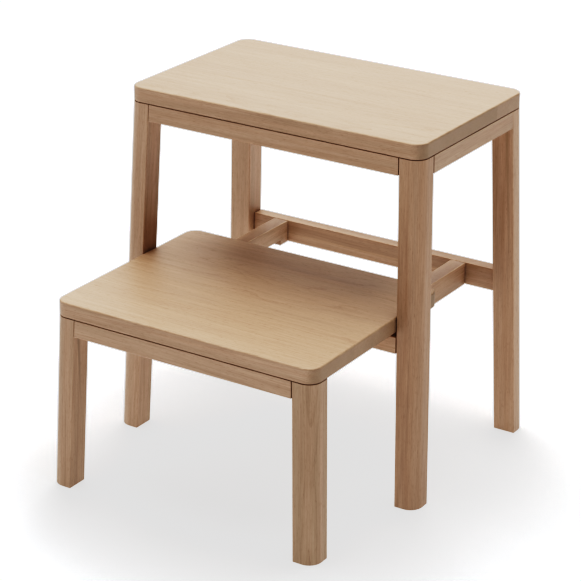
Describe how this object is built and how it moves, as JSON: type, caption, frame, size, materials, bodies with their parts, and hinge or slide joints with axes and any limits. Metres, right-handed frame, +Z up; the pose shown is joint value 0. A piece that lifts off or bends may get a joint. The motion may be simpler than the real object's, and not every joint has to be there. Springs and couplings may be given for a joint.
{
  "type": "step stool",
  "caption": "Oak step stool with a tall seat on splayed legs and a low step that slides in under the seat on guide rails.",
  "frame": {"origin": "on the floor, at the middle of the whole object's bounding box with the step pulled out", "axes": "+X to the sitter's right along the seat's width, +Y back from the step towards the seat, +Z up"},
  "size_m": [0.4652, 0.4884, 0.479],
  "materials": {
    "board_oak": "pale oiled oak boards, fine open grain, matt",
    "frame_oak": "oiled oak frame, straight grain, matt",
    "inner_wood": "bare beech, unseen joinery and runners",
    "steel": "zinc plated screws",
    "nylon": "nylon glides and slide pads"
  },
  "bodies": {
    "stool": {"seat_board": "board_oak", "leg_front_left": "frame_oak", "leg_rear_left": "frame_oak", "leg_front_right": "frame_oak", "leg_rear_right": "frame_oak", "apron_front": "frame_oak", "apron_rear": "frame_oak", "apron_left": "frame_oak", "apron_right": "frame_oak", "front_stretcher": "frame_oak", "rear_stretcher": "frame_oak", "guide_rail_left": "frame_oak", "guide_rail_right": "frame_oak", "corner_block_front_left": "inner_wood", "corner_block_rear_left": "inner_wood", "corner_block_front_right": "inner_wood", "corner_block_rear_right": "inner_wood", "tenon_apron_front_left_x": "inner_wood", "tenon_apron_front_left_y": "inner_wood", "tenon_apron_rear_left_x": "inner_wood", "tenon_apron_rear_left_y": "inner_wood", "tenon_apron_front_right_x": "inner_wood", "tenon_apron_front_right_y": "inner_wood", "tenon_apron_rear_right_x": "inner_wood", "tenon_apron_rear_right_y": "inner_wood", "tenon_stretcher_front_left": "inner_wood", "tenon_stretcher_rear_left": "inner_wood", "tenon_stretcher_front_right": "inner_wood", "tenon_stretcher_rear_right": "inner_wood", "tenon_rail_front_left": "inner_wood", "tenon_rail_rear_left": "inner_wood", "tenon_rail_front_right": "inner_wood", "tenon_rail_rear_right": "inner_wood", "seat_screw_front_left": "steel", "seat_screw_rear_left": "steel", "seat_screw_front_right": "steel", "seat_screw_rear_right": "steel", "foot_glide_front_left": "nylon", "foot_glide_rear_left": "nylon", "foot_glide_front_right": "nylon", "foot_glide_rear_right": "nylon"},
    "step": {"step_board": "board_oak", "step_leg_left": "frame_oak", "step_leg_right": "frame_oak", "step_apron": "frame_oak", "tenon_step_apron_left": "inner_wood", "tenon_step_apron_right": "inner_wood", "dowel_step_leg_left": "inner_wood", "dowel_step_leg_right": "inner_wood", "step_runner_left": "inner_wood", "step_runner_right": "inner_wood", "runner_screw_front_left": "steel", "runner_screw_rear_left": "steel", "runner_screw_front_right": "steel", "runner_screw_rear_right": "steel", "foot_glide_step_left": "nylon", "foot_glide_step_right": "nylon", "step_pad_left": "nylon", "step_pad_right": "nylon"}
  },
  "joints": [
    {"name": "step_slide", "type": "slide", "parent": "stool", "child": "step", "axis": [0, 1, 0], "range_m": [0, 0.156]}
  ]
}
